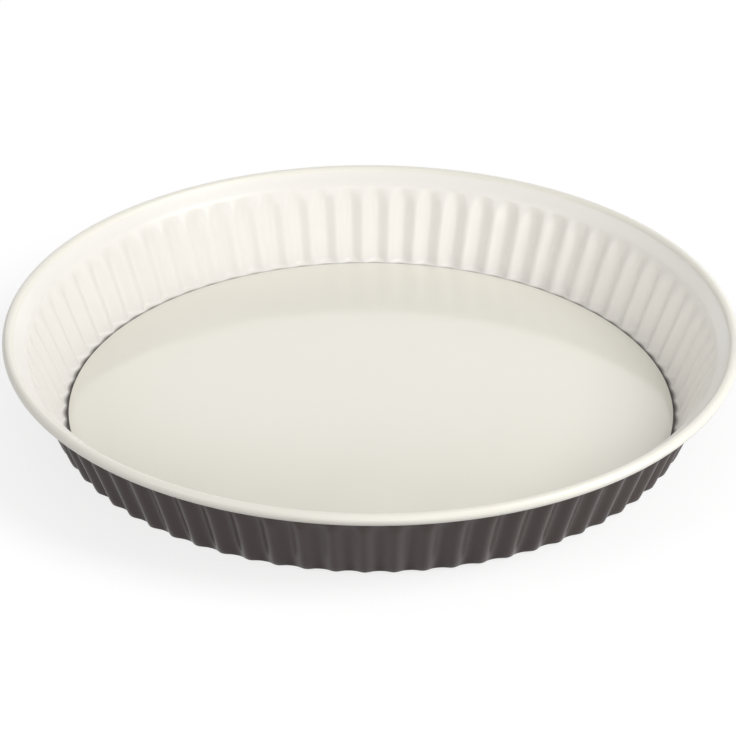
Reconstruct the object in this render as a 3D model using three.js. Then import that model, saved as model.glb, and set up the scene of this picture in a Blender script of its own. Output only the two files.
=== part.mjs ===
// A round fluted quiche pan with a loose base that lifts out, in millimetres, +Z up.
// The origin is on the table, under the middle of the pan.
import * as THREE from 'three';

// Overall sizes
const rimDiameter = 296; // across the outside of the rolled rim
const panHeight = 37.7; // from the table to the top of the rolled rim

// Ring: one pressed and coated steel sheet
const sheetThickness = 0.7;
const seatOverlap = 7; // how far the seat reaches in under the base
const ledgeWidth = 2.1; // level part of the seat that shows round the base
const footRadius = 2; // bend between seat and wall, at the middle of the sheet
const fluteCount = 72;
const fluteDepth = 2.2; // from the top of a flute to the bottom of the next groove
const fluteFade = 7; // height over which the flutes die out under the collar
const fluteEase = 0.6; // roundness of the flutes: small has sharp grooves on both faces, large is even
const collarWidth = 4.9; // plain flared collar above the flutes, measured level
const collarSlope = 40; // degrees above level
const rollDiameter = 4.6; // rolled rim, across its outside
const rollSlope = 70; // degrees above level where the roll leaves the collar
const rollTurn = 300; // degrees that the sheet is rolled outwards and down

// Loose base: a flat coated steel disc
const baseDiameter = 245.6;
const baseThickness = 0.8;
const baseEdge = 0.2; // small bevel on the base's edge

// Facets
const stepsPerFlute = 6;
const plainStepsPerFlute = 2;
const rollSteps = 8;
const baseSteps = 144;

const halfSheet = sheetThickness / 2;
const baseRadius = baseDiameter / 2;
const radians = THREE.MathUtils.degToRad;

// Points and headings of the middle of the sheet lie in the plane of radius and height.
// A heading is the way that the sheet runs: 0 is outwards, a quarter turn is straight up.
const along = (heading) => new THREE.Vector2(Math.cos(heading), Math.sin(heading));
const leftOf = (heading) => new THREE.Vector2(-Math.sin(heading), Math.cos(heading));

// The inside of the pan, and the outside of the roll, lie to the left of the heading.
// A station has its number of steps round the pan, and its share of the flute depth as its wave.
function station(point, heading, steps, wave = 0) {
  const half = leftOf(heading).multiplyScalar(halfSheet);
  return { inside: point.clone().add(half), outside: point.clone().sub(half), steps, wave };
}

// The ring's sheet from the inner edge of the seat, up the wall and the collar, to the end of the roll.
function sheetStations() {
  const fluted = fluteCount * stepsPerFlute;
  const plain = fluteCount * plainStepsPerFlute;

  const seatStart = new THREE.Vector2(baseRadius - seatOverlap, halfSheet);
  const bendStart = new THREE.Vector2(baseRadius + ledgeWidth, halfSheet);
  const bendCentre = bendStart.clone().add(new THREE.Vector2(0, footRadius));

  const collarHeading = radians(collarSlope);
  const rollHeading = radians(rollSlope);
  const rollRadius = rollDiameter / 2 - halfSheet;
  const rollInset = rollDiameter / 2;
  const rollCentre = new THREE.Vector2(rimDiameter / 2 - rollInset, panHeight - rollInset);
  const rollStart = rollCentre.clone().addScaledVector(leftOf(rollHeading), rollRadius);
  const collarLength = collarWidth / Math.cos(collarHeading);
  const collarStart = rollStart.clone().addScaledVector(along(collarHeading), -collarLength);

  // The wall is the straight line from the collar that just touches the bend.
  const toCollar = collarStart.clone().sub(bendCentre);
  const wallHeading = toCollar.angle() + Math.asin(footRadius / toCollar.length());
  const bendMiddle = bendCentre.clone().addScaledVector(leftOf(wallHeading / 2), -footRadius);
  const bendEnd = bendCentre.clone().addScaledVector(leftOf(wallHeading), -footRadius);
  const fadeLength = fluteFade / Math.sin(wallHeading);
  const fadeStart = collarStart.clone().addScaledVector(along(wallHeading), -fadeLength);

  const stations = [
    station(seatStart, 0, plain),
    station(bendStart, 0, plain),
    station(bendMiddle, wallHeading / 2, fluted, 0.6),
    station(bendEnd, wallHeading, fluted, 1),
    station(fadeStart, wallHeading, fluted, 1),
    station(collarStart, (wallHeading + collarHeading) / 2, plain),
  ];
  stations.push(station(rollStart, (collarHeading + rollHeading) / 2, plain));
  for (let i = 1; i <= rollSteps; i += 1) {
    const heading = rollHeading - radians(rollTurn) * (i / rollSteps);
    const point = rollCentre.clone().addScaledVector(leftOf(heading), rollRadius);
    stations.push(station(point, heading, plain));
  }
  return stations;
}

// A share from 0 at a narrow groove to 1 at the broad crest between two, for the sine of half a turn.
const crest = (sine) => (Math.hypot(sine, fluteEase) - fluteEase) / (Math.hypot(1, fluteEase) - fluteEase);

// 1 where a flute stands out and -1 where it goes in. The sheet is broad wherever a face bulges.
function fluteWave(angle, onInside) {
  const half = (fluteCount * angle) / 2;
  return onInside ? 1 - 2 * crest(Math.sin(half)) : 2 * crest(Math.cos(half)) - 1;
}

// One closed loop of points round the pan, whose radius waves in and out with the flutes.
function ringOfPoints(point, steps, wave, onInside) {
  const points = [];
  for (let i = 0; i < steps; i += 1) {
    const angle = (2 * Math.PI * i) / steps;
    const radius = point.x + wave * (fluteDepth / 2) * fluteWave(angle, onInside);
    points.push(new THREE.Vector3(radius * Math.cos(angle), radius * Math.sin(angle), point.y));
  }
  return points;
}

// Triangles between two neighbouring loops, where one may have a whole multiple of the other's steps.
function band(first, firstCount, second, secondCount) {
  const triangles = [];
  const most = Math.max(firstCount, secondCount);
  const onFirst = (i) => first + (Math.floor((i * firstCount) / most) % firstCount);
  const onSecond = (i) => second + (Math.floor((i * secondCount) / most) % secondCount);
  for (let i = 0; i < most; i += 1) {
    const [a, b, c, d] = [onFirst(i), onFirst(i + 1), onSecond(i), onSecond(i + 1)];
    if (a !== b) triangles.push(a, b, d);
    if (c !== d) triangles.push(a, d, c);
  }
  return triangles;
}

// The sheet as one closed skin: up its outside, round the end of the roll and down its inside.
function ringGeometry() {
  const stations = sheetStations();
  const loops = [
    ...stations.map(({ outside, steps, wave }) => ringOfPoints(outside, steps, wave, false)),
    ...stations.toReversed().map(({ inside, steps, wave }) => ringOfPoints(inside, steps, wave, true)),
  ];
  const firsts = [];
  let total = 0;
  for (const loop of loops) {
    firsts.push(total);
    total += loop.length;
  }
  const triangles = loops.flatMap((loop, i) => {
    const next = (i + 1) % loops.length;
    return band(firsts[i], loop.length, firsts[next], loops[next].length);
  });
  const geometry = new THREE.BufferGeometry().setFromPoints(loops.flat());
  geometry.setIndex(triangles);
  geometry.computeVertexNormals();
  return geometry;
}

// The base is turned about its own middle, from the centre of its underside round to its top.
function baseGeometry() {
  const profile = [
    [0, 0],
    [baseRadius - baseEdge, 0],
    [baseRadius, baseEdge],
    [baseRadius, baseThickness - baseEdge],
    [baseRadius - baseEdge, baseThickness],
    [0, baseThickness],
  ].map(([radius, height]) => new THREE.Vector2(radius, height));
  return new THREE.LatheGeometry(profile, baseSteps).rotateX(Math.PI / 2);
}

const darkCoating = new THREE.MeshStandardMaterial({ color: 0x4a4543, roughness: 0.45, metalness: 0.1 });
const creamCoating = new THREE.MeshStandardMaterial({ color: 0xece8dc, roughness: 0.3, metalness: 0 });

const flutedRing = new THREE.Mesh(ringGeometry(), darkCoating);
flutedRing.name = 'fluted_ring';

// The base lies loose on the seat.
const looseBase = new THREE.Mesh(baseGeometry(), creamCoating);
looseBase.name = 'loose_base';
looseBase.position.z = sheetThickness;

const quichePan = new THREE.Group();
quichePan.name = 'quiche_pan';
quichePan.add(flutedRing, looseBase);

export default quichePan;
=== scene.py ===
"""A round fluted quiche pan with a loose base, in metres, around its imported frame."""

import math

import bpy
import numpy as np
from mathutils import Matrix, Vector


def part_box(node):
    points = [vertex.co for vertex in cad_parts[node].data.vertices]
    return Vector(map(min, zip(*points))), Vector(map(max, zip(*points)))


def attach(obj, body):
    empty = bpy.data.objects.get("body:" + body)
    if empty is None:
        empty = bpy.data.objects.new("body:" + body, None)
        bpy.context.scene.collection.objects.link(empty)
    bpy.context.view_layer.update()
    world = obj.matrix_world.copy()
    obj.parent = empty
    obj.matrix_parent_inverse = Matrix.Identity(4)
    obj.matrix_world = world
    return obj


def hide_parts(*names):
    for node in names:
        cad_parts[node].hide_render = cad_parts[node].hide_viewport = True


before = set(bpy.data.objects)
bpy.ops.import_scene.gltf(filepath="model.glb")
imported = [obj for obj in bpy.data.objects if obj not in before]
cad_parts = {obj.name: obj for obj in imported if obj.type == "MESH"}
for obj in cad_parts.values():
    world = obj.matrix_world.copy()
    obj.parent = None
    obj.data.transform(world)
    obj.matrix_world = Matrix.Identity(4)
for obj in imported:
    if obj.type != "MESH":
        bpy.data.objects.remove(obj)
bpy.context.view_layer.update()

# The ring is one steel sheet, pressed to a narrow seat, a fluted flaring wall and a plain collar, with its
# edge rolled outwards and down into a hollow bead. The inside has a cream non-stick coat and the outside
# has a dark one. The roll carries a deeper copy of the cream as painted shade on the bead, and the dark
# colour is painted onto the cream near the base's edge as painted shade in the crevice.
ring_low, ring_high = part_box("fluted_ring")
base_low, base_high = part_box("loose_base")
RIM_RADIUS = ring_high[0]
RIM_TOP = ring_high[2]
SHEET = base_low[2]
BASE_RADIUS = base_high[0]
SEAT_OVERLAP = 0.007
LEDGE_WIDTH = 0.0021
FOOT_RADIUS = 0.002
FLUTES = 72
FLUTE_DEPTH = 0.0028
FLUTE_FADE = 0.007
LEDGE_FADE = 0.0015
FOOT_FADE = 0.0024
COLLAR_WIDTH = 0.0049
COLLAR_SLOPE = math.radians(40)
COLLAR_BEND = 0.005
CREASE_RADIUS = 0.0008
ROLL_RADIUS = 0.0023
ROLL_SLOPE = math.radians(70)
ROLL_TURN = math.radians(300)
# Painted shade in the crevice beside the base: the dark colour shows on the cream inside this radius, fades
# out over the next width, draws in with height up the foot and reaches a little further in the grooves.
PAINTED_SHADE_EDGE = BASE_RADIUS + 0.0007
PAINTED_SHADE_FADE = 0.0018
PAINTED_SHADE_HEIGHT = 2.0
PAINTED_SHADE_GROOVE = 0.00025
SEAT_POINTS, FOOT_POINTS, WALL_POINTS = 3, 7, 12
BEND_POINTS, COLLAR_POINTS, CREASE_POINTS, ROLL_POINTS = 5, 2, 4, 20
STEPS_PER_FLUTE = 12
RING_STEPS = FLUTES * STEPS_PER_FLUTE


def rightwards(heading):
    """The unit vector to the right of a heading, where 0 is outwards and a quarter turn is up."""
    return np.stack([np.sin(heading), -np.cos(heading)], axis=-1)


def forwards(heading):
    """The unit vector along a heading."""
    return np.stack([np.cos(heading), np.sin(heading)], axis=-1)


def arc(centre, radius, start, stop, count):
    """Points and headings round a bend: centre plus radius times the vector to the right of the heading,
    as the heading goes evenly from start to stop. A bend to the right has a negative radius."""
    heading = np.linspace(start, stop, count)
    return centre + radius * rightwards(heading), heading


def straight(first, last, count):
    """Points evenly between two points, both left out, with the heading of the line."""
    share = np.linspace(0, 1, count + 2)[1:-1, None]
    heading = np.arctan2(*(last - first)[::-1])
    return first + share * (last - first), np.full(count, heading)


def eased(share):
    """A share held between 0 and 1 that leaves 0 and reaches 1 level: 3 squares less 2 cubes."""
    held = np.clip(share, 0, 1)
    return held * held * (3 - 2 * held)


def sheet_middle():
    """The middle of the sheet in the plane of radius and height, with its heading and the shares of the
    flute depth on its inside and outside: level across the seat, round the foot, straight up the wall,
    over a gentle bend to the collar, up at its crease, and round the roll. The wall is the line from the
    collar's lower corner that just touches the foot, and the bend rounds that corner. The flutes start on
    the seat inside and along the foot outside, and die out under the collar."""
    half = SHEET / 2
    seat_start = np.array([BASE_RADIUS - SEAT_OVERLAP, half])
    foot_start = np.array([BASE_RADIUS + LEDGE_WIDTH, half])
    foot_centre = foot_start + [0, FOOT_RADIUS]
    roll_radius = ROLL_RADIUS - half
    roll_centre = np.array([RIM_RADIUS - ROLL_RADIUS, RIM_TOP - ROLL_RADIUS])
    crease_centre = roll_centre - (roll_radius + CREASE_RADIUS) * rightwards(ROLL_SLOPE)
    crease_start = crease_centre + CREASE_RADIUS * rightwards(COLLAR_SLOPE)
    corner = crease_start - COLLAR_WIDTH / math.cos(COLLAR_SLOPE) * forwards(COLLAR_SLOPE)
    to_corner = corner - foot_centre
    wall = math.atan2(to_corner[1], to_corner[0]) + math.asin(FOOT_RADIUS / np.hypot(*to_corner))
    cut = COLLAR_BEND * math.tan((wall - COLLAR_SLOPE) / 2)
    bend_centre = corner - cut * forwards(wall) + COLLAR_BEND * rightwards(wall)
    foot = arc(foot_centre, FOOT_RADIUS, 0, wall, FOOT_POINTS)
    bend = arc(bend_centre, -COLLAR_BEND, wall, COLLAR_SLOPE, BEND_POINTS)
    crease = arc(crease_centre, CREASE_RADIUS, COLLAR_SLOPE, ROLL_SLOPE, CREASE_POINTS)
    roll = arc(roll_centre, -roll_radius, ROLL_SLOPE, ROLL_SLOPE - ROLL_TURN, ROLL_POINTS)
    seat = straight(seat_start, foot[0][0], SEAT_POINTS)
    side = straight(foot[0][-1], bend[0][0], WALL_POINTS)
    collar = straight(bend[0][-1], crease[0][0], COLLAR_POINTS)
    runs = (seat, foot, side, bend, collar, crease, tuple(part[1:] for part in roll))
    points = np.concatenate([seat_start[None], *(run[0] for run in runs)])
    headings = np.concatenate([[0.0], *(run[1] for run in runs)])
    past_seat = points[:, 0] - foot_start[0]
    from_seat = np.stack([eased(1 + past_seat / LEDGE_FADE), eased(past_seat / FOOT_FADE)])
    to_collar = eased((corner[1] - points[:, 1]) / FLUTE_FADE)
    return points, headings, from_seat * to_collar


def sheet_outline(points, headings, half, cap=3):
    """The closed outline of a sheet: half its thickness to the right all the way along, a half circle round
    the end, half to the left all the way back, and a half circle round the start. It is given with the
    middle's index of every point, and with True where the point is on the left or on that half of an
    edge."""
    index = np.arange(len(points))
    right = points + half * rightwards(headings)
    left = points - half * rightwards(headings)
    turn = np.linspace(-math.pi / 2, math.pi / 2, cap + 2)[1:-1]
    end = points[-1] + half * forwards(headings[-1] + turn)
    start = points[0] + half * forwards(headings[0] + math.pi + turn)
    outline = np.concatenate([right, end, left[::-1], start])
    middle = np.concatenate([index, np.full(cap, index[-1]), index[::-1], np.full(cap, 0)])
    is_left = np.concatenate([index < 0, turn >= 0, index >= 0, turn < 0])
    return outline, middle, is_left


def grid_mesh(name, points, closed, poles=()):
    """A smooth mesh on a grid of points whose rows close round. The last row joins the first where the
    grid is closed, and otherwise a fan joins the first and the last row to their poles."""
    rows, steps = points.shape[:2]
    number = np.arange(rows * steps).reshape(rows, steps)
    upper = np.roll(number, -1, axis=0) if closed else number[1:]
    lower = number if closed else number[:-1]
    quads = np.stack([lower, np.roll(lower, -1, 1), np.roll(upper, -1, 1), upper], axis=-1)
    quads = quads.reshape(-1, 4)
    fans = np.zeros((0, 3), int)
    if poles:
        first, last = rows * steps, rows * steps + 1
        fans = np.concatenate([
            np.stack([np.full(steps, first), np.roll(number[0], -1), number[0]], axis=-1),
            np.stack([np.full(steps, last), number[-1], np.roll(number[-1], -1)], axis=-1),
        ])
    corners = np.concatenate([quads.ravel(), fans.ravel()])
    sizes = np.concatenate([np.full(len(quads), 4), np.full(len(fans), 3)])
    places = np.concatenate([points.reshape(-1, 3), np.reshape(poles, (-1, 3))])
    mesh = bpy.data.meshes.new(name)
    mesh.vertices.add(len(places))
    mesh.vertices.foreach_set("co", places.ravel())
    mesh.loops.add(len(corners))
    mesh.loops.foreach_set("vertex_index", corners)
    mesh.polygons.add(len(sizes))
    mesh.polygons.foreach_set("loop_start", np.cumsum(sizes) - sizes)
    mesh.polygons.foreach_set("use_smooth", np.ones(len(sizes), bool))
    mesh.update(calc_edges=True)
    mesh.validate()
    piece = bpy.data.objects.new(name, mesh)
    bpy.context.collection.objects.link(piece)
    return piece


def around(outline, angle, wave=0):
    """The outline carried round the pan's axis: radius plus wave at each angle, and height as it is."""
    radius = outline[:, :1] + wave
    height = np.broadcast_to(outline[:, 1:], radius.shape[:1] + angle.shape)
    radius = np.broadcast_to(radius, height.shape)
    return np.stack([radius * np.cos(angle), radius * np.sin(angle), height], axis=-1)


class Wire:
    """A socket in a material's node tree. +, - and * on it add Math nodes."""

    def __init__(self, socket):
        self.socket = socket

    @classmethod
    def node(cls, tree, kind, settings=None, sockets=None, output=0):
        """Adds a node, sets its settings first, then sets or links its sockets, and gives one output."""
        made = tree.nodes.new(kind)
        for key, value in (settings or {}).items():
            setattr(made, key, value)
        for key, value in (sockets or {}).items():
            if isinstance(value, Wire):
                tree.links.new(value.socket, made.inputs[key])
            else:
                made.inputs[key].default_value = value
        return cls(made.outputs[output]) if made.outputs else made

    def math(self, operation, first, second):
        tree = self.socket.id_data
        return Wire.node(tree, "ShaderNodeMath", {"operation": operation}, {0: first, 1: second})

    def __add__(self, other):
        return self.math("ADD", self, other)

    __radd__ = __add__

    def __sub__(self, other):
        return self.math("SUBTRACT", self, other)

    def __rsub__(self, other):
        return self.math("SUBTRACT", other, self)

    def __mul__(self, other):
        return self.math("MULTIPLY", self, other)

    __rmul__ = __mul__


def srgb(code):
    """A colour as a screen shows it, such as "efece4", as the linear numbers that a shader takes."""
    parts = np.array([int(code[i:i + 2], 16) for i in (0, 2, 4)]) / 255
    linear = np.where(parts <= 0.04045, parts / 12.92, ((parts + 0.055) / 1.055) ** 2.4)
    return (*linear.tolist(), 1.0)


def blended(tree, share, first, second):
    """A colour that goes from the first to the second as the share goes from 0 to 1."""
    sockets = {0: share, 6: first, 7: second}
    return Wire.node(tree, "ShaderNodeMix", {"data_type": "RGBA"}, sockets, output=2)


CLOUD_SCALE, CLOUD_DETAIL = 24.0, 4.0
CLOUD_ROUGHNESS = 0.1
GRAIN_SCALE, GRAIN_DETAIL = 700.0, 1.0
PEEL_DEPTH = 0.0001


def coat(name, pale, deep, roughness, peel, ior=1.5, painted_shade=None):
    """A sprayed and baked coat: two near shades in soft clouds, and a fine orange peel in its skin. When
    painted shade is given, a darker colour shows inside a radius from the pan's axis and fades out over a
    width beyond it, reaching less far with height above the seat and a little further in the grooves of the
    flutes: painted shade in the crevice beside the base."""
    material = bpy.data.materials.new(name)
    material.use_nodes = True
    tree = material.node_tree
    tree.nodes.clear()
    place = Wire.node(tree, "ShaderNodeTexCoord", output="Object")
    cloud = Wire.node(
        tree, "ShaderNodeTexNoise", {}, {"Vector": place, "Scale": CLOUD_SCALE, "Detail": CLOUD_DETAIL}
    )
    grain = Wire.node(
        tree, "ShaderNodeTexNoise", {}, {"Vector": place, "Scale": GRAIN_SCALE, "Detail": GRAIN_DETAIL}
    )
    colour = blended(tree, cloud, srgb(deep), srgb(pale))
    if painted_shade:
        # Painted shade: the dark colour near the base's edge, fading out with radius and height.
        radius, feather, under = painted_shade
        level = Wire.node(
            tree, "ShaderNodeVectorMath", {"operation": "MULTIPLY"}, {0: place, 1: (1.0, 1.0, 0.0)}
        )
        from_axis = Wire.node(
            tree, "ShaderNodeVectorMath", {"operation": "LENGTH"}, {0: level}, output="Value"
        )
        x, y, z = (
            Wire.node(tree, "ShaderNodeSeparateXYZ", {}, {0: place}, output=axis) for axis in "XYZ"
        )
        angle = y.math("ARCTAN2", y, x)
        groove = angle.math("COSINE", FLUTES * angle, 0.0)
        shade_reach = from_axis + PAINTED_SHADE_HEIGHT * (z - SHEET) - PAINTED_SHADE_GROOVE * groove
        out_of_shade = Wire.node(
            tree, "ShaderNodeMapRange", {},
            {"Value": shade_reach, "From Min": radius, "From Max": radius + feather}
        )
        colour = blended(tree, out_of_shade, srgb(under), colour)
    skin = Wire.node(
        tree, "ShaderNodeBump", {}, {"Strength": peel, "Distance": PEEL_DEPTH, "Height": grain}
    )
    shader = Wire.node(tree, "ShaderNodeBsdfPrincipled", {}, {
        "Base Color": colour,
        "Roughness": roughness + CLOUD_ROUGHNESS * (cloud - 0.5),
        "Normal": skin,
        "IOR": ior,
    })
    Wire.node(tree, "ShaderNodeOutputMaterial", {}, {"Surface": shader})
    return material


CREAM_PALE, CREAM_DEEP = "f4f1eb", "f0ede7"
# A deeper, slightly yellower copy of the cream for the roll: painted shade that dims the bead.
RIM_SHADE_PALE, RIM_SHADE_DEEP = "eeebe1", "ebe8de"
DARK_PALE, DARK_DEEP = "554c4a", "4c4442"
CREAM_IOR, DARK_IOR = 1.43, 1.3
RING_ROUGHNESS = 0.3
RING_PEEL = 0.05

# The cream coat carries painted shade in the crevice beside the base.
cream_with_painted_shade = coat(
    "cream_with_painted_shade", CREAM_PALE, CREAM_DEEP, RING_ROUGHNESS, RING_PEEL, CREAM_IOR,
    painted_shade=(PAINTED_SHADE_EDGE, PAINTED_SHADE_FADE, DARK_DEEP),
)
# The roll's coat is painted shade on the bead.
rim_painted_shade = coat("rim_painted_shade", RIM_SHADE_PALE, RIM_SHADE_DEEP, RING_ROUGHNESS, RING_PEEL, CREAM_IOR)
dark_coat = coat("dark_coat", DARK_PALE, DARK_DEEP, RING_ROUGHNESS, RING_PEEL, DARK_IOR)

middle, headings, (share_inside, share_outside) = sheet_middle()
outline, middle_of, on_cream = sheet_outline(middle, headings, SHEET / 2)
ring_angle = 2 * math.pi * np.arange(RING_STEPS) / RING_STEPS
flute_share = np.where(on_cream, share_inside[middle_of], share_outside[middle_of])
ring_wave = flute_share[:, None] * FLUTE_DEPTH / 2 * np.cos(FLUTES * ring_angle)
ring = grid_mesh("coated_ring", around(outline, ring_angle, ring_wave), closed=True)
ring.data.materials.append(dark_coat)
ring.data.materials.append(cream_with_painted_shade)
ring.data.materials.append(rim_painted_shade)
# The roll takes the shaded copy of the cream.
on_roll = on_cream & (middle_of >= len(middle) - ROLL_POINTS)
ring_slots = on_cream.astype(np.int32) + on_roll
ring.data.polygons.foreach_set("material_index", np.repeat(ring_slots, RING_STEPS).astype(np.int32))
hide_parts("fluted_ring")
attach(ring, "ring")

# The base is a flat steel disc that lies loose on the ring's seat, with a small round on its edge.
# Its top has a smoother and slightly greyer cream coat, and the dark coat of its underside comes round
# the edge.
BASE_PALE, BASE_DEEP = "edeadf", "eae7dc"
BASE_ROUGHNESS = 0.11
BASE_PEEL = 0.03
BASE_EDGE = 0.0003
EDGE_POINTS = 4
BASE_STEPS = 432
BASE_RINGS = 40

base_bottom, base_top = base_low[2], base_high[2]
spread = np.linspace(0, 1, BASE_RINGS + 1)[1:-1] * (BASE_RADIUS - BASE_EDGE)
quarter = np.linspace(0, math.pi / 2, EDGE_POINTS)
lower_centre = np.array([BASE_RADIUS - BASE_EDGE, base_bottom + BASE_EDGE])
upper_centre = np.array([BASE_RADIUS - BASE_EDGE, base_top - BASE_EDGE])
lower_edge = lower_centre + BASE_EDGE * rightwards(quarter)
upper_edge = upper_centre + BASE_EDGE * forwards(quarter)
underside = np.stack([spread, np.full_like(spread, base_bottom)], axis=-1)
top_side = np.stack([spread[::-1], np.full_like(spread, base_top)], axis=-1)
base_outline = np.concatenate([underside, lower_edge, upper_edge, top_side])
base_angle = 2 * math.pi * np.arange(BASE_STEPS) / BASE_STEPS
base_poles = ((0, 0, base_bottom), (0, 0, base_top))
base = grid_mesh("coated_base", around(base_outline, base_angle), closed=False, poles=base_poles)
base.data.materials.append(dark_coat)
base.data.materials.append(coat("base_coat", BASE_PALE, BASE_DEEP, BASE_ROUGHNESS, BASE_PEEL))
rows_on_top = np.arange(len(base_outline) - 1) >= len(underside) + len(lower_edge) + 1
base_slots = np.concatenate([np.repeat(rows_on_top, BASE_STEPS), np.repeat([False, True], BASE_STEPS)])
base.data.polygons.foreach_set("material_index", base_slots.astype(np.int32))
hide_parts("loose_base")
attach(base, "base")

# A plain white table under the pan. It throws little light back onto the pan and keeps its shadow, and it
# shows white itself and in reflections.
FLOOR_SIZE = 8.0
TABLE_GREY = "989898"
FLOOR_GLOW = 0.745
RAYS_THAT_SHOW = ("Is Camera Ray", "Is Glossy Ray", "Is Transmission Ray")

floor_mesh = bpy.data.meshes.new("floor")
half_floor = FLOOR_SIZE / 2
floor_corners = np.array([(-1, -1, 0), (1, -1, 0), (1, 1, 0), (-1, 1, 0)]) * half_floor
floor_mesh.from_pydata(floor_corners.tolist(), [], [(0, 1, 2, 3)])
floor = bpy.data.objects.new("floor", floor_mesh)
bpy.context.collection.objects.link(floor)
white_table = bpy.data.materials.new("white_table")
white_table.use_nodes = True
table_tree = white_table.node_tree
table_tree.nodes.clear()
rays = [Wire.node(table_tree, "ShaderNodeLightPath", output=name) for name in RAYS_THAT_SHOW]
table_top = Wire.node(table_tree, "ShaderNodeBsdfPrincipled", {}, {
    "Base Color": srgb(TABLE_GREY),
    "Roughness": 1.0,
    "Specular IOR Level": 0.0,
    "Emission Color": rays[0] + rays[1] + rays[2],
    "Emission Strength": FLOOR_GLOW,
})
Wire.node(table_tree, "ShaderNodeOutputMaterial", {}, {"Surface": table_top})
floor_mesh.materials.append(white_table)

# Soft studio light: an even pale room, broad lamps in front, to the right and above on the left, a strip
# close to the table on the right, which picks out the outside of the flutes, and a long low lamp at the
# back, which the base mirrors.
ROOM_LIGHT = 0.36

world = bpy.data.worlds.new("pale_room")
bpy.context.scene.world = world
world.use_nodes = True
room = world.node_tree
room.nodes.clear()
sky = Wire.node(room, "ShaderNodeBackground", {}, {"Color": (1.0, 1.0, 1.0, 1.0), "Strength": ROOM_LIGHT})
Wire.node(room, "ShaderNodeOutputWorld", {}, {"Surface": sky})


def soft_lamp(name, place, size, power):
    """A lamp of a width and a height that faces the pan."""
    lamp = bpy.data.lights.new(name, "AREA")
    lamp.shape = "RECTANGLE"
    lamp.size, lamp.size_y = size
    lamp.energy = power
    holder = bpy.data.objects.new(name, lamp)
    holder.location = place
    holder.rotation_euler = (-Vector(place)).to_track_quat("-Z", "Y").to_euler()
    bpy.context.collection.objects.link(holder)


soft_lamp("front", (0.1, -2.0, 0.75), (1.6, 1.0), 12.2)
soft_lamp("right", (1.5, -0.5, 1.5), (1.0, 1.2), 24.5)
soft_lamp("right_low", (2.2, -0.5, 0.06), (0.8, 0.12), 15.0)
soft_lamp("left", (-1.65, -0.95, 1.2), (1.0, 1.0), 8.0)
soft_lamp("back", (0.0, 1.9, 0.70), (2.4, 0.8), 8.0)

# The camera stands in front and looks down into the pan, with the ridge of one flute just left of its
# middle. Its lens is long, so the pan's far side is nearly as wide as its near side.
AIM = Vector((0, 0, 0.015))
DISTANCE = 1.3705
ELEVATION = math.radians(29.318)
AZIMUTH = math.radians(0.865)
ROLL = math.radians(0.347)
SENSOR = 36.0
IMAGE_SIZE = 736
FOCAL_PIXELS = 3381.0
AIM_PIXEL = (371.15, 372.87)

lens = bpy.data.cameras.new("lens")
lens.sensor_width = SENSOR
lens.lens = FOCAL_PIXELS / IMAGE_SIZE * SENSOR
lens.shift_x = (IMAGE_SIZE / 2 - AIM_PIXEL[0]) / IMAGE_SIZE
lens.shift_y = (AIM_PIXEL[1] - IMAGE_SIZE / 2) / IMAGE_SIZE
camera = bpy.data.objects.new("camera", lens)
turned = Matrix.Rotation(AZIMUTH, 4, "Z") @ Matrix.Rotation(math.pi / 2 - ELEVATION, 4, "X")
camera.matrix_world = (
    Matrix.Translation(AIM) @ turned @ Matrix.Translation((0, 0, DISTANCE)) @ Matrix.Rotation(ROLL, 4, "Z")
)
bpy.context.collection.objects.link(camera)
bpy.context.scene.camera = camera

bpy.context.scene.view_settings.view_transform = "Standard"
